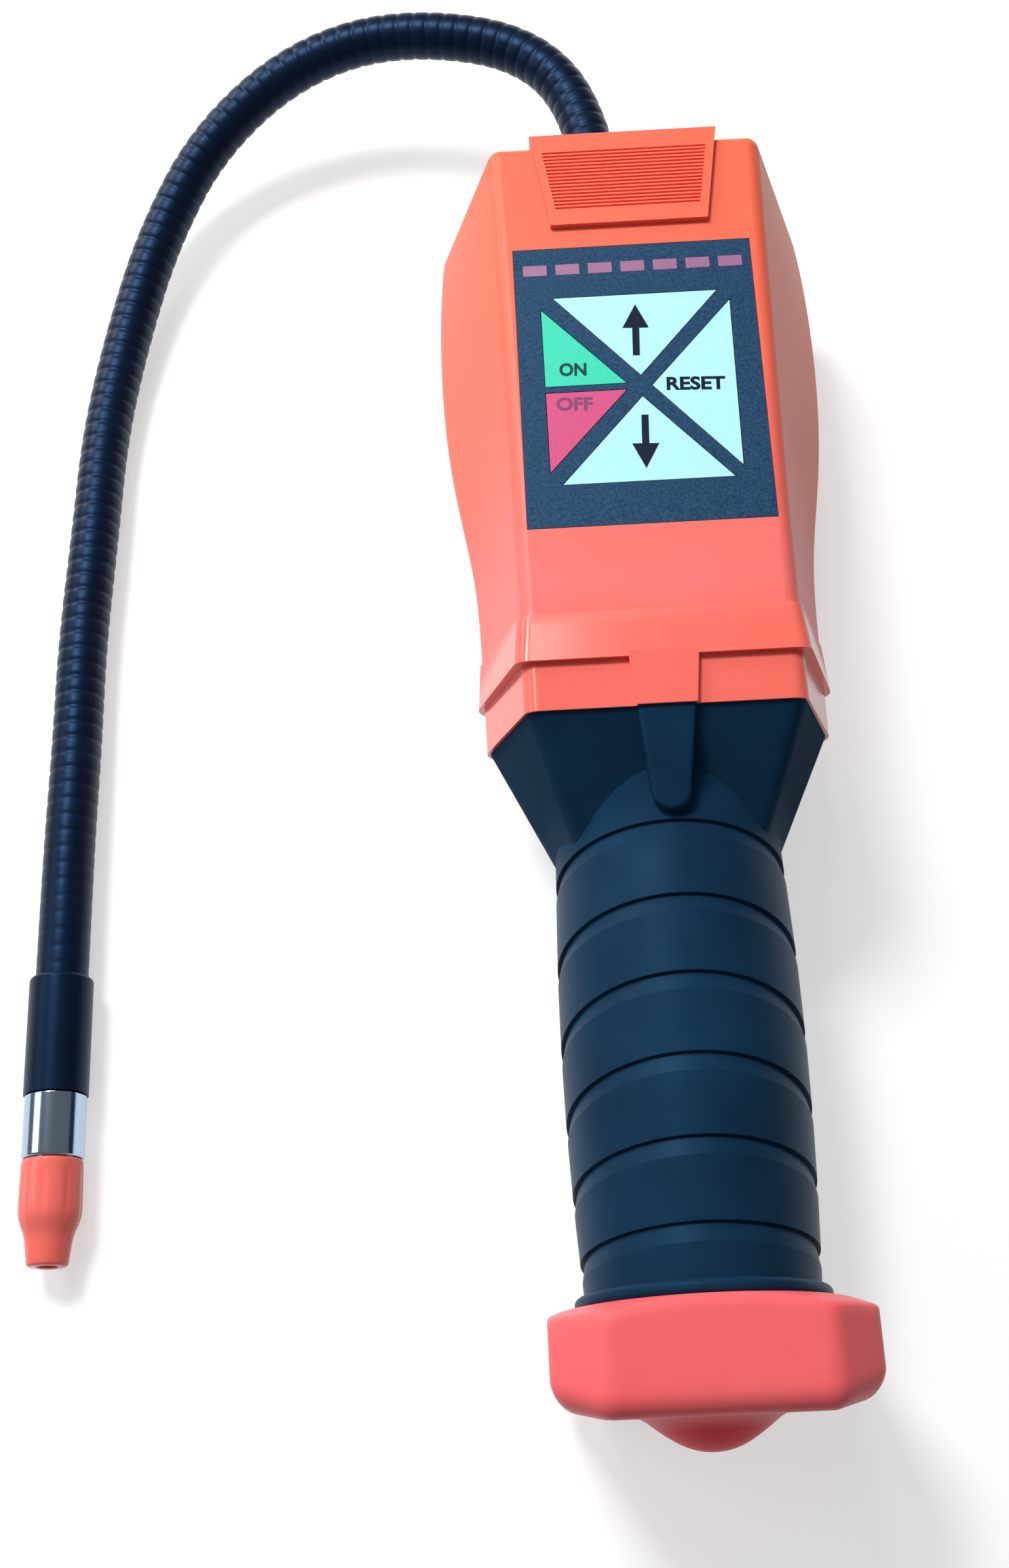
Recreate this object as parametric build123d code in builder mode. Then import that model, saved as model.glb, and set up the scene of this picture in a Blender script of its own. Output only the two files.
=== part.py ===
"""Hand-held refrigerant leak detector, lying on its back.

The head is two moulded shells with a membrane keypad. A ribbed rubber grip
covers the battery tube, and a screwed cap with a domed boss closes it.
A gooseneck probe leaves the top end, turns back along the left side and
ends in a removable sensor tip. +Y points to the head and +Z to the keypad.
"""
import os
from math import cos, radians, sin, tan

from build123d import *

os.makedirs("parts", exist_ok=True)

# Overall sizes of the body, in millimetres
body_length = 229.0
axis_z = 24.8
parting_z = 22.0
wall = 2.4
pad_over = 0.7
top_y = body_length / 2
head_top = top_y - pad_over

# The head's half widths (half width, y) at the parting plane, the front face and the back
waist_side = [(30.5, -6.0), (31.2, 20.0), (32.1, 40.0), (35.3, 59.5), (37.2, 88.0), (35.5, head_top)]
front_side = [(23.1, -6.0), (23.3, 36.0), (24.7, head_top)]
back_side = [(22.2, -6.0), (23.4, 50.0), (26.0, head_top)]
front_tilt = 2.4
front_edge_radius = 2.6
waist_radius = 7.0

# The head's lower end, its collar band and the tab in the band
lower_tilt = 9.5
lower_z = 51.0
band_step = 8.6
band_top = 17.2
band_height = 1.2
band_top_height = 0.35
tab_half_top = 5.9
tab_half_low = 4.8

# The ribbed thumb pad across the top of the front face
pad_low = 94.6
pad_half_low = 14.3
pad_half_top = 17.3
pad_height = 1.1
pad_margin = 1.6
pad_margin_low = 3.2
pad_ribs = 17
rib_depth = 0.35

# The membrane keypad
keys_y = 60.7
front_z = 52.9
film_half = 21.4
film_length = 56.6
film_shift = 1.2
film_thick = 0.35
film_gap = 0.1
window_pitch = 5.87
window_count = 7
window_size = (4.4, 2.3)
window_y = 25.0
key_gap = 0.15
key_travel = 0.25
key_depth = 3.3
key_lip = 0.4
key_post_radius = 1.6

# The grip
grip_front_y = -17.8
groove_pitch = 12.92
groove_count = 6
groove_depth = 0.7
groove_bevel = 3.0
ring_radius = 20.3
ring_taper = 0.0009
ring_middle_y = -49.6
tilt_middle = 19.5
tilt_fan = 1.27
tilt_peak = 2.2
neck_radius = 19.3
flare_end_y = -19.2
bead_radius = 20.4
bead_height = 2.4

# The battery compartment, for two size C cells in line
cell_radius = 13.1
cell_length = 50.0
cell_nub_radius = 3.2
cell_nub_height = 1.5
cell_gap = 0.3
tube_wall = 2.1
tube_gap = 0.1
spring_length = 6.0
spring_wire = 0.9
plate_thick = 0.8

# The base cap
cap_half = axis_z
cap_corner = 7.6
cap_height = 18.0
cap_chamfer = 21.0
cap_rim_radius = 24.0
cap_floor = 4.0
cap_round = 4.0
cap_low_round = 3.4
cap_top_round = 0.8
boss_height = 2.9
boss_radius = 13.0
thread_gap = 0.1
cap_gap = 0.3

# The electronics
board_depth = 9.0
board_thick = 1.6
board_half = 20.0
board_low = -28.0
board_high = 33.0
board_post_radius = 2.0
board_post_inset = 2.5
dome_radius = 2.5
dome_height = 0.5
led_radius = 1.5
beeper_radius = 7.0
beeper_height = 5.0

# The case screws
screw_x = 17.0
screw_rows = (27.0, 98.0)
screw_radius = 1.4
screw_head_radius = 2.8
screw_boss_radius = 3.6
screw_gap = 0.1

# The gooseneck probe
neck_diameter = 9.4
exit_x = -3.0
exit_z = 28.0
gland_radius = 8.4
gland_length = 7.0
sleeve_radius = 5.7
sleeve_length = 21.5
collar_radius = 5.45
collar_length = 11.3
tip_radius = 5.5
tip_barrel = 9.4
tip_shoulder = 2.4
nozzle_length = 6.2
nozzle_base_radius = 4.3
nozzle_end_radius = 3.5
nozzle_hole = 1.8
flute_count = 8
flute_radius = 2.6
flute_depth = 0.3
nozzle_flat = 1.04
stem_radius = 3.9
stem_gap = 0.08
probe_x = -110.0
probe_end_y = -28.0
probe_z = 5.7

# Places worked out from the sizes above
cap_low_y = -body_length / 2 + boss_height
cap_top_y = cap_low_y + cap_height
grip_low_y = cap_top_y + cap_gap
plate_y = cap_low_y + cap_floor
cell_low_y = plate_y + plate_thick + spring_length
cell_top_y = cell_low_y + 2 * cell_length
tube_bore = cell_radius + cell_gap
tube_radius = tube_bore + tube_wall
tube_low_y = plate_y + plate_thick + 0.6
tube_high_y = cell_top_y + 8.0

front = Plane(
    origin=(0, keys_y, front_z),
    x_dir=(1, 0, 0),
    z_dir=(0, -sin(radians(front_tilt)), cos(radians(front_tilt))),
)
lower = Plane(
    origin=(0, 0, lower_z),
    x_dir=(1, 0, 0),
    z_dir=(0, cos(radians(lower_tilt)), sin(radians(lower_tilt))),
)


def across(y):
    """The plane across the body at y, facing the head."""
    return Plane(origin=(0, y, 0), x_dir=(1, 0, 0), z_dir=(0, 1, 0))


def inset_side(side, inset, y_low, y_high):
    """The side's points moved in by inset, between two ends."""
    points = []
    for half, y in side:
        points.append((half - inset, min(max(y, y_low), y_high)))
    return points


def outline(side, shift=0.0):
    """A closed outline, the same on both sides of the middle."""
    right = [(half, y - shift) for half, y in side]
    left = [(-half, y) for half, y in reversed(right)]
    with BuildLine(Plane.XY) as line:
        Spline(*right)
        Line(right[-1], left[0])
        Spline(*left)
        Line(left[-1], right[0])
    return line.edges()


def save(part, name):
    """Label a finished piece and write it."""
    part.label = name
    export_step(part, "parts/" + name + ".step")


# Head: the whole outer form, before it is split into shells
waist_outline = outline(waist_side)
front_outline = outline(front_side, keys_y)
back_outline = outline(back_side)
with BuildPart() as head_form:
    with BuildSketch(Plane.XY.offset(parting_z)):
        make_face(waist_outline)
    with BuildSketch(front):
        make_face(front_outline)
    loft(ruled=True)
    with BuildSketch(Plane.XY):
        make_face(back_outline)
    with BuildSketch(Plane.XY.offset(parting_z)):
        make_face(waist_outline)
    loft(ruled=True)
    long_edges = head_form.edges().filter_by(lambda e: e.length > 80)
    waist = long_edges.filter_by(lambda e: abs(e.center().Z - parting_z) < 0.1)
    fillet(waist, waist_radius)
with BuildPart() as head_rounded:
    add(head_form.part)
    front_face = head_rounded.faces().sort_by(Axis.Z)[-1]
    back_face = head_rounded.faces().sort_by(Axis.Z)[0]
    top_face = head_rounded.faces().sort_by(Axis.Y)[-1]
    rounded = set(front_face.edges()) | set(back_face.edges()) | set(top_face.edges())
    fillet([edge for edge in rounded if edge.center().Y > 0], front_edge_radius)


def half_at(side, y):
    """The half width at y, between the side's points."""
    for (half_a, y_a), (half_b, y_b) in zip(side, side[1:]):
        if y <= y_b:
            break
    return half_a + (half_b - half_a) * (y - y_a) / (y_b - y_a)


def head_section(distance, grow):
    """The head's six corners on the plane at this distance above its lower end."""
    origin = lower.offset(distance).origin
    middle_y = origin.Y + 2 * band_step * sin(radians(lower_tilt))
    face_z = front_z + (origin.Y - keys_y) * tan(radians(front_tilt)) + grow
    down = 1 / cos(radians(lower_tilt))
    front_half = half_at(front_side, middle_y) + grow
    waist_half = half_at(waist_side, middle_y) + grow
    back_half = half_at(back_side, middle_y) + grow
    return [
        (front_half, (origin.Z - face_z) * down),
        (waist_half, (origin.Z - parting_z) * down),
        (back_half, origin.Z * down),
        (-back_half, origin.Z * down),
        (-waist_half, (origin.Z - parting_z) * down),
        (-front_half, (origin.Z - face_z) * down),
    ]


def rounded_section(plane, points, small, large):
    """A sketch of six corners, the two at the waist rounder than the rest."""
    with BuildSketch(plane) as section:
        Polygon(*points, align=None)
        corners = section.vertices().sort_by(Axis.X)
        fillet([corners[0], corners[-1]], large)
        corners = section.vertices().filter_by(lambda v: any(abs(v.X - p[0]) < 0.01 for p in points))
        fillet(corners, small)
    return section.sketch


# Collar band round the head's lower end, a wedge that stands out at its step
band_low_sketch = rounded_section(
    lower.offset(band_step), head_section(band_step, band_height), front_edge_radius, waist_radius
)
band_top_sketch = rounded_section(
    lower.offset(band_top), head_section(band_top, band_top_height), front_edge_radius, waist_radius
)
with BuildPart() as band_form:
    add(band_low_sketch)
    add(band_top_sketch)
    loft(ruled=True)
    split(bisect_by=Plane.XY, keep=Keep.TOP)

# The head's outside, with its band, tab and thumb pad
tab_low_y = -2.0 - keys_y
tab_high_y = band_step + 1.0 - keys_y
pad_bottom = pad_low - keys_y
pad_top = top_y - keys_y
ribs_low = pad_bottom + pad_margin_low
ribs_top = pad_top - front_edge_radius - pad_height
rib_pitch = (ribs_top - ribs_low) / pad_ribs
with BuildSketch() as ribbed_sketch:
    Polygon(
        (-pad_half_low + pad_margin, pad_bottom),
        (pad_half_low - pad_margin, pad_bottom),
        (pad_half_top - pad_margin, pad_top),
        (-pad_half_top + pad_margin, pad_top),
        align=None,
    )
ribbed_area = ribbed_sketch.sketch
with BuildPart() as head_outside:
    add(head_rounded.part)
    add(band_form.part)
    with BuildSketch(front.offset(band_height)):
        Polygon(
            (-tab_half_low, tab_low_y),
            (tab_half_low, tab_low_y),
            (tab_half_top, tab_high_y),
            (-tab_half_top, tab_high_y),
            align=None,
        )
    extrude(amount=-2 * wall)
    with BuildSketch(front.offset(pad_height)):
        Polygon(
            (-pad_half_low, pad_bottom),
            (pad_half_low, pad_bottom),
            (pad_half_top, pad_top),
            (-pad_half_top, pad_top),
            align=None,
        )
    extrude(amount=-3 * wall)
    with BuildSketch(front.offset(pad_height)):
        with Locations((0, (ribs_low + ribs_top) / 2)):
            with GridLocations(0, rib_pitch, 1, pad_ribs):
                Rectangle(3 * pad_half_top, rib_pitch / 2)
        add(ribbed_area, mode=Mode.INTERSECT)
    extrude(amount=-rib_depth, mode=Mode.SUBTRACT)
    split(bisect_by=lower, keep=Keep.TOP)


# Keypad outlines on the front face, measured from the middle of the keys
key_corners = {
    "key_up": [(-14.6, 18.9), (0, 2.2), (14.6, 18.9)],
    "key_down": [(-14.8, -18.9), (14.8, -18.9), (0, -2.2)],
    "key_on": [(-16.9, 16.5), (-16.9, 0.75), (-2.7, 0.75)],
    "key_off": [(-16.9, -16.4), (-2.7, -0.65), (-16.9, -0.65)],
    "key_reset": [(16.8, 16.7), (1.9, 0), (16.4, -16.7)],
}


def key_centre(corners):
    """The middle of a triangle."""
    return (sum(x for x, y in corners) / 3, sum(y for x, y in corners) / 3)


def key_sketch(plane, corners, grow):
    """A key's triangle on a plane, with its sides moved out by grow."""
    with BuildSketch(plane) as sketch:
        Polygon(*corners, align=None)
        if grow:
            offset(amount=grow, kind=Kind.INTERSECTION)
    return sketch.sketch


windows = GridLocations(window_pitch, 0, window_count, 1).locations
window_places = [Location((place.position.X, window_y, 0)) for place in windows]
diffuser_width = window_pitch * (window_count - 1) + window_size[0] + 2.0
diffuser_height = window_size[1] + 1.6
diffuser_thick = 1.2

with BuildPart() as keypad_overlay:
    with BuildSketch(front.offset(-film_thick)):
        with Locations((0, film_shift)):
            Rectangle(2 * film_half, film_length)
        with Locations(*window_places):
            Rectangle(*window_size, mode=Mode.SUBTRACT)
    extrude(amount=film_thick)
    for corners in key_corners.values():
        add(key_sketch(front, corners, key_gap))
        extrude(amount=-2 * film_thick, mode=Mode.SUBTRACT)
save(keypad_overlay.part, "keypad_overlay")

with BuildPart() as led_diffuser:
    with BuildSketch(front.offset(-film_thick - diffuser_thick)):
        with Locations((0, window_y)):
            Rectangle(diffuser_width, diffuser_height)
    extrude(amount=diffuser_thick)
    with BuildSketch(front.offset(-film_thick)):
        with Locations(*window_places):
            Rectangle(window_size[0] - film_gap, window_size[1] - film_gap)
    extrude(amount=film_thick)
save(led_diffuser.part, "led_diffuser")

post_depth = board_depth - dome_height - key_travel - 0.02
lip_top = wall + 0.05
for name, corners in key_corners.items():
    with BuildPart() as key:
        add(key_sketch(front, corners, 0))
        extrude(amount=-key_depth)
        add(key_sketch(front.offset(-key_depth), corners, key_gap + key_lip))
        extrude(amount=key_depth - lip_top)
        with BuildSketch(front.offset(-key_depth)):
            with Locations(key_centre(corners)):
                Circle(key_post_radius)
        extrude(amount=key_depth - post_depth)
    save(key.part, name)

# Cavity inside the head
cavity_low_y = 11.0
cavity_high_y = head_top - wall
waist_inside = outline(inset_side(waist_side, wall + 0.6, cavity_low_y, cavity_high_y))
front_inside = outline(inset_side(front_side, wall + 0.6, cavity_low_y, cavity_high_y), keys_y)
back_inside = outline(inset_side(back_side, wall + 0.4, cavity_low_y, cavity_high_y))
with BuildPart() as front_cavity:
    with BuildSketch(Plane.XY.offset(parting_z)):
        make_face(waist_inside)
    with BuildSketch(front.offset(-wall)):
        make_face(front_inside)
    loft(ruled=True)
with BuildPart() as back_cavity:
    with BuildSketch(Plane.XY.offset(wall)):
        make_face(back_inside)
    with BuildSketch(Plane.XY.offset(parting_z)):
        make_face(waist_inside)
    loft(ruled=True)

screw_places = [(x, y) for y in screw_rows for x in (-screw_x, screw_x)]
tube_hole_radius = tube_radius + tube_gap
gland_neck_radius = neck_diameter / 2 + 0.7
post_x = board_half - board_post_radius
post_rows = (board_low + board_post_inset, board_high - board_post_inset)
board_posts = [(x, y) for y in post_rows for x in (-post_x, post_x)]
screw_seat_z = 5.0
screw_tip_z = parting_z + 10.0

with BuildPart() as front_housing:
    add(head_outside.part)
    split(bisect_by=Plane.XY.offset(parting_z), keep=Keep.TOP)
    add(front_cavity.part, mode=Mode.SUBTRACT)
    with BuildSketch(Plane.XY.offset(parting_z)):
        with Locations(*screw_places):
            Circle(screw_boss_radius)
    extrude(until=Until.NEXT)
    with BuildSketch(front.offset(-board_depth)):
        with Locations(*board_posts):
            Circle(board_post_radius)
    extrude(amount=board_depth - wall / 2)
    with BuildSketch(front.offset(-film_thick)):
        with Locations((0, film_shift)):
            Rectangle(2 * film_half + 2 * film_gap, film_length + 2 * film_gap)
    extrude(amount=2 * film_thick, mode=Mode.SUBTRACT)
    for corners in key_corners.values():
        add(key_sketch(front, corners, key_gap))
        extrude(amount=-2 * wall, mode=Mode.SUBTRACT)
    with BuildSketch(front):
        with Locations((0, window_y)):
            Rectangle(diffuser_width + 2 * film_gap, diffuser_height + 2 * film_gap)
    extrude(amount=-2 * wall, mode=Mode.SUBTRACT)
    with BuildSketch(Plane.XY.offset(parting_z)):
        with Locations(*screw_places):
            Circle(screw_radius)
    extrude(amount=screw_tip_z - parting_z, mode=Mode.SUBTRACT)
    with BuildSketch(across(cavity_high_y - 5)):
        with Locations((exit_x, -exit_z)):
            Circle(gland_neck_radius + 0.05)
    extrude(amount=20, mode=Mode.SUBTRACT)
    with BuildSketch(across(-20)):
        with Locations((0, -axis_z)):
            Circle(tube_hole_radius)
    extrude(amount=40, mode=Mode.SUBTRACT)
save(front_housing.part, "front_housing")

with BuildPart() as rear_housing:
    add(head_outside.part)
    split(bisect_by=Plane.XY.offset(parting_z), keep=Keep.BOTTOM)
    add(back_cavity.part, mode=Mode.SUBTRACT)
    with BuildSketch(Plane.XY.offset(wall / 2)):
        with Locations(*screw_places):
            Circle(screw_boss_radius + 1.2)
    extrude(amount=parting_z - wall / 2)
    with BuildSketch(Plane.XY):
        with Locations(*screw_places):
            Circle(screw_head_radius + screw_gap)
    extrude(amount=screw_seat_z, mode=Mode.SUBTRACT)
    with BuildSketch(Plane.XY):
        with Locations(*screw_places):
            Circle(screw_radius + screw_gap)
    extrude(amount=parting_z, mode=Mode.SUBTRACT)
    with BuildSketch(across(-20)):
        with Locations((0, -axis_z)):
            Circle(tube_hole_radius)
    extrude(amount=40, mode=Mode.SUBTRACT)
save(rear_housing.part, "rear_housing")

with BuildPart() as housing_screws:
    with BuildSketch(Plane.XY.offset(screw_seat_z)):
        with Locations(*screw_places):
            Circle(screw_head_radius)
    extrude(amount=-2.2)
    with BuildSketch(Plane.XY.offset(screw_seat_z)):
        with Locations(*screw_places):
            Circle(screw_radius - 0.02)
    extrude(amount=screw_tip_z - screw_seat_z - 0.5)
save(housing_screws.part, "housing_screws")


# Grip: a tapering collar under the head, a neck, slanted rings and a bead
def ring_radius_at(y):
    """The grip's outer radius at y."""
    return ring_radius - ring_taper * (y - ring_middle_y) ** 2


def groove_plane(index, shift=0.0):
    """The slanted plane of a groove, moved along the grip by shift."""
    tilt = radians(tilt_middle - tilt_fan * (index - tilt_peak) ** 2)
    front_y = grip_front_y - groove_pitch * index
    middle_y = front_y - ring_radius_at(front_y) * tan(tilt) + shift
    normal = (0, cos(tilt), -sin(tilt))
    return Plane(origin=(0, middle_y, axis_z), x_dir=(1, 0, 0), z_dir=normal), middle_y, tilt


def ring_section(index, shift, depth):
    """An oval across the grip on a groove's slanted plane."""
    plane, middle_y, tilt = groove_plane(index, shift)
    radius = ring_radius_at(middle_y) - depth
    with BuildSketch(plane) as section:
        Ellipse(radius, radius / cos(tilt))
    return section.sketch


flare_points = [(15.5, -36.0), (19.4, -24.0), (14.5, -13.0), (-14.5, -13.0), (-19.4, -24.0), (-15.5, -36.0)]
flare_top_sketch = rounded_section(lower, head_section(0, -0.4), front_edge_radius, waist_radius)
flare_low_sketch = rounded_section(across(flare_end_y), flare_points, front_edge_radius, waist_radius)
neck_top_y = 6.0
rings_end_y = grip_low_y + bead_height / 2
tongue_low_half = 3.2
tongue_top_half = 5.2
tongue_end_y = -16.7
with BuildPart() as tongue_form:
    with BuildSketch(Plane.XY.offset(axis_z + 8)):
        with BuildLine():
            Polyline(
                (-tongue_low_half, tongue_end_y + tongue_low_half),
                (-tongue_top_half, 3.0),
                (tongue_top_half, 3.0),
                (tongue_low_half, tongue_end_y + tongue_low_half),
            )
            ThreePointArc(
                (tongue_low_half, tongue_end_y + tongue_low_half),
                (0, tongue_end_y),
                (-tongue_low_half, tongue_end_y + tongue_low_half),
            )
        make_face()
    extrude(amount=30)
    tongue_top = Plane(origin=(0, 0, 51.0), x_dir=(1, 0, 0), z_dir=(0, -sin(radians(16)), cos(radians(16))))
    split(bisect_by=tongue_top, keep=Keep.BOTTOM)
    fillet(tongue_form.faces().sort_by(Axis.Z)[-1].edges(), 0.7)

with BuildPart() as bead_form:
    with BuildSketch(across(grip_low_y)):
        with Locations((0, -axis_z)):
            Circle(bead_radius)
    extrude(amount=bead_height)
    fillet(bead_form.edges(), bead_height / 2 - 0.15)

with BuildPart() as grip_sleeve:
    add(flare_low_sketch)
    add(flare_top_sketch)
    loft(ruled=True)
    with BuildSketch(across(-12.0)):
        with Locations((0, -axis_z)):
            Circle(neck_radius)
    extrude(amount=12.0 + neck_top_y)
    add(ring_section(0, 0, 0))
    with BuildSketch(across(-12.0)):
        with Locations((0, -axis_z)):
            Circle(neck_radius)
    loft(ruled=True)
    with BuildSketch(across(grip_low_y)):
        with Locations((0, -axis_z)):
            Circle(ring_radius_at(grip_low_y) - 1.6)
    extrude(amount=-10.0 - grip_low_y)
    for index in range(groove_count):
        if index < groove_count - 1:
            add(ring_section(index + 1, 0, 0))
        else:
            with BuildSketch(across(rings_end_y)):
                with Locations((0, -axis_z)):
                    Circle(ring_radius_at(rings_end_y))
        add(ring_section(index, -groove_bevel, 0))
        add(ring_section(index, 0, groove_depth))
        loft(ruled=True)
    add(bead_form.part)
    add(tongue_form.part)
    split(bisect_by=lower, keep=Keep.BOTTOM)
    with BuildSketch(across(grip_low_y - 1)):
        with Locations((0, -axis_z)):
            Circle(tube_hole_radius)
    extrude(amount=130, mode=Mode.SUBTRACT)
save(grip_sleeve.part, "grip_sleeve")


# Battery tube with its two cells, spring and contacts
grip_axis = Axis((0, 0, axis_z), (0, 1, 0))


def rod(y_low, y_high, radius, x=0.0, z=axis_z):
    """A round bar along the grip, between two heights."""
    with BuildPart() as bar:
        with BuildSketch(across(y_low)):
            with Locations((x, -z)):
                Circle(radius)
        extrude(amount=y_high - y_low)
    return bar.part


with BuildPart() as battery_tube:
    add(rod(tube_low_y, tube_high_y, tube_radius))
    add(rod(tube_low_y - 1, tube_high_y + 1, tube_bore), mode=Mode.SUBTRACT)
save(battery_tube.part, "battery_tube")

for name, low_y in (("battery_lower", cell_low_y), ("battery_upper", cell_low_y + cell_length)):
    can_high_y = low_y + cell_length - cell_nub_height
    with BuildPart() as cell:
        add(rod(low_y, can_high_y, cell_radius))
        fillet(cell.edges().filter_by(GeomType.CIRCLE), 1.0)
        add(rod(can_high_y - 1, low_y + cell_length, cell_nub_radius))
    save(cell.part, name)

contact_thick = 2.0
with BuildPart() as battery_contact:
    add(rod(cell_top_y, cell_top_y + contact_thick, tube_bore - 0.05))
    add(rod(cell_top_y + contact_thick, cell_top_y + contact_thick + 1.5, 2.5))
save(battery_contact.part, "battery_contact")

with BuildPart() as spring_plate:
    add(rod(plate_y, plate_y + plate_thick, tube_bore - 1.0))
save(spring_plate.part, "spring_plate")

spring_radius = 7.0
spring_turns = 3.5
spring_rise = spring_length - spring_wire - 0.1
with BuildPart() as battery_spring:
    with BuildLine():
        helix = Helix(
            pitch=spring_rise / spring_turns,
            height=spring_rise,
            radius=spring_radius,
            center=(0, plate_y + plate_thick + spring_wire / 2, axis_z),
            direction=(0, 1, 0),
        )
    with BuildSketch(Plane(origin=helix @ 0, z_dir=helix % 0)):
        Circle(spring_wire / 2)
    sweep()
save(battery_spring.part, "battery_spring")

# Base cap: an eight-sided nut form with a coned top, soft edges and a domed boss
cap_reach = 34.0
with BuildPart() as cap_cone:
    with BuildSketch(Plane.YZ):
        Polygon(
            (cap_low_y, axis_z),
            (cap_low_y, axis_z + cap_reach),
            (cap_top_y - (cap_reach - cap_rim_radius) * tan(radians(cap_chamfer)), axis_z + cap_reach),
            (cap_top_y, axis_z + cap_rim_radius),
            (cap_top_y, axis_z),
            align=None,
        )
    revolve(axis=grip_axis)

with BuildPart() as boss_form:
    with BuildSketch(Plane.YZ):
        with BuildLine():
            Spline(
                (cap_low_y, axis_z + boss_radius),
                (cap_low_y - boss_height, axis_z),
                tangents=((0, -1), (0, -1)),
            )
            Polyline(
                (cap_low_y - boss_height, axis_z),
                (cap_low_y + 1, axis_z),
                (cap_low_y + 1, axis_z + boss_radius),
                (cap_low_y, axis_z + boss_radius),
            )
        make_face()
    revolve(axis=grip_axis)

with BuildPart() as base_cap:
    with BuildSketch(across(cap_low_y)):
        with Locations((0, -axis_z)):
            square = Rectangle(2 * cap_half, 2 * cap_half)
        chamfer(square.vertices(), cap_corner)
    extrude(amount=cap_height)
    fillet(base_cap.edges().filter_by(Axis.Y), cap_round)
    fillet(base_cap.faces().sort_by(Axis.Y)[0].edges(), cap_low_round)
    add(cap_cone.part, mode=Mode.INTERSECT)
    cone_face = base_cap.faces().filter_by(GeomType.CONE).sort_by(Axis.Y)[-1]
    fillet(cone_face.edges(), cap_top_round)
    add(boss_form.part)
    add(rod(plate_y, cap_top_y + 1, tube_radius + thread_gap), mode=Mode.SUBTRACT)
save(base_cap.part, "base_cap")

# Electronics on the board behind the keypad
with BuildPart() as main_board:
    with BuildSketch(front.offset(-board_depth - board_thick)):
        with Locations((0, (board_low + board_high) / 2)):
            Rectangle(2 * board_half, board_high - board_low)
    extrude(amount=board_thick)
save(main_board.part, "main_board")

with BuildPart() as key_domes:
    with BuildSketch(front.offset(-board_depth)):
        with Locations(*[key_centre(corners) for corners in key_corners.values()]):
            Circle(dome_radius)
    extrude(amount=dome_height, taper=30)
save(key_domes.part, "key_domes")

with BuildPart() as led_row:
    with BuildSketch(front.offset(-board_depth)):
        with Locations(*window_places):
            Circle(led_radius)
    extrude(amount=board_depth - film_thick - diffuser_thick - 0.5)
    fillet(led_row.faces().filter_by(front).sort_by(Axis.Z)[-window_count:].edges(), 1.0)
save(led_row.part, "led_row")

board_back = front.offset(-board_depth - board_thick)
with BuildPart() as beeper:
    with BuildSketch(board_back):
        with Locations((0, -18)):
            Circle(beeper_radius)
            Circle(1.0, mode=Mode.SUBTRACT)
    extrude(amount=-beeper_height)
save(beeper.part, "beeper")

with BuildPart() as high_voltage_transformer:
    with BuildSketch(board_back):
        with Locations((8, 21)):
            Rectangle(15, 13)
    extrude(amount=-11)
    fillet(high_voltage_transformer.edges().filter_by(lambda e: e.length > 10.5 and e.length < 11.5), 1.5)
save(high_voltage_transformer.part, "high_voltage_transformer")

with BuildPart() as storage_capacitor:
    with BuildSketch(board_back):
        with Locations((-9, 21)):
            Circle(4.0)
    extrude(amount=-10)
save(storage_capacitor.part, "storage_capacitor")

# Probe: gland, gooseneck, end sleeve, collar, socket and sensor tip
gland_low_y = cavity_high_y - 4.0
neck_low_y = head_top + 2.0
with BuildPart() as probe_gland:
    add(rod(gland_low_y, head_top, gland_neck_radius, exit_x, exit_z))
    with BuildSketch(across(head_top)):
        with Locations((exit_x, -exit_z)):
            Circle(gland_radius)
    extrude(amount=gland_length, taper=12)
    add(rod(gland_low_y, cavity_high_y, gland_neck_radius + 2.2, exit_x, exit_z))
    add(rod(neck_low_y, head_top + 20, neck_diameter / 2 + 0.05, exit_x, exit_z), mode=Mode.SUBTRACT)
save(probe_gland.part, "probe_gland")

neck_route = [
    (exit_x, neck_low_y, exit_z),
    (exit_x, 139.0, exit_z),
    (-14.0, 162.5, 28.5),
    (-42.5, 171.5, 26.5),
    (-65.5, 168.5, 22.0),
    (-85.0, 155.0, 15.0),
    (-96.5, 135.0, 9.0),
    (-103.0, 112.0, 6.0),
    (-107.0, 89.0, 5.0),
    (-108.0, 65.0, 5.5),
    (-109.5, 41.0, 5.2),
    (-109.5, 17.5, 5.5),
    (probe_x, -5.5, probe_z),
    (probe_x, -47.5, probe_z),
]
neck_radii = []
for before, corner, after in zip(neck_route, neck_route[1:], neck_route[2:]):
    run_in = Vector(corner) - Vector(before)
    run_out = Vector(after) - Vector(corner)
    half_turn = radians(run_in.get_angle(run_out)) / 2
    neck_radii.append(0.45 * min(run_in.length, run_out.length) / tan(half_turn))
print("neck radii", [round(radius) for radius in neck_radii])
with BuildPart() as gooseneck:
    with BuildLine():
        neck_path = FilletPolyline(*neck_route, radius=neck_radii)
    with BuildSketch(across(neck_low_y)):
        with Locations((exit_x, -exit_z)):
            Circle(neck_diameter / 2)
    sweep()
save(gooseneck.part, "gooseneck")
neck_section = 3.14159265 * (neck_diameter / 2) ** 2
print("neck length", neck_path.length, "volume ratio", gooseneck.part.volume / neck_section / neck_path.length)

sleeve_high_y = probe_end_y
sleeve_low_y = sleeve_high_y - sleeve_length
collar_low_y = sleeve_low_y - collar_length
hood_high_y = collar_low_y - 0.3
neck_end_y = neck_route[-1][1]


def probe_rod(y_low, y_high, radius):
    """A round bar along the straight end of the probe."""
    return rod(y_low, y_high, radius, probe_x, probe_z)


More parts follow.
